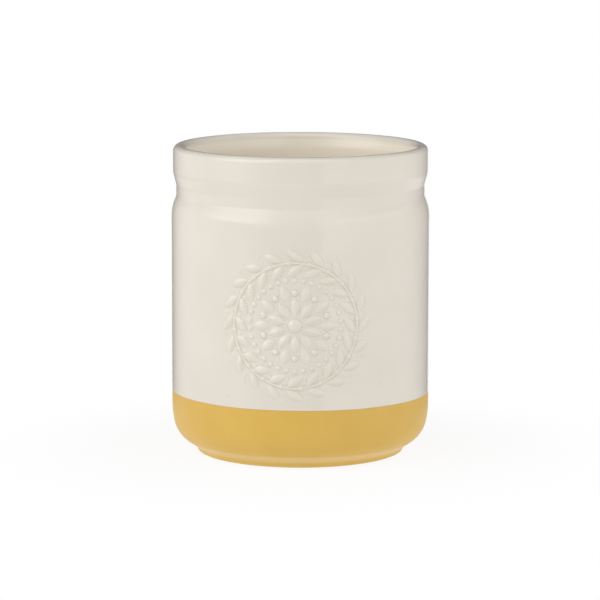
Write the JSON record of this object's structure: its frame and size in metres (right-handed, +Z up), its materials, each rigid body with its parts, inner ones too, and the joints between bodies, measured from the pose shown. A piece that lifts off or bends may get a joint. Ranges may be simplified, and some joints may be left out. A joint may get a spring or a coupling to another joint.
{
  "type": "utensil crock",
  "caption": "Straight round stoneware crock with a grooved neck, a raised leaf medallion and a two-colour glaze, which stands open on a worktop and holds kitchen utensils.",
  "frame": {"origin": "centre of the standing face of the foot ring, on the crock's axis", "axes": "+Z up along the crock's axis to the open rim; the medallion faces -Y; +X to the right of the medallion as seen from the front"},
  "size_m": [0.1258, 0.1271, 0.15],
  "materials": {
    "stoneware": "bare fired stoneware clay, matt",
    "cream_glaze": "warm cream glaze, glossy",
    "mustard_glaze": "mustard yellow glaze, satin"
  },
  "bodies": {
    "root": {"stoneware_body": "stoneware", "cream_glaze": "cream_glaze", "mustard_glaze_band": "mustard_glaze", "mustard_glaze_underside": "mustard_glaze", "rosette_boss": "stoneware", "rosette_petals": "stoneware", "rosette_leaves": "stoneware", "rosette_buds": "stoneware", "pearl_ring": "stoneware", "wreath_outer_leaves": "stoneware", "wreath_inner_leaves": "stoneware", "wreath_berries": "stoneware"}
  },
  "joints": []
}
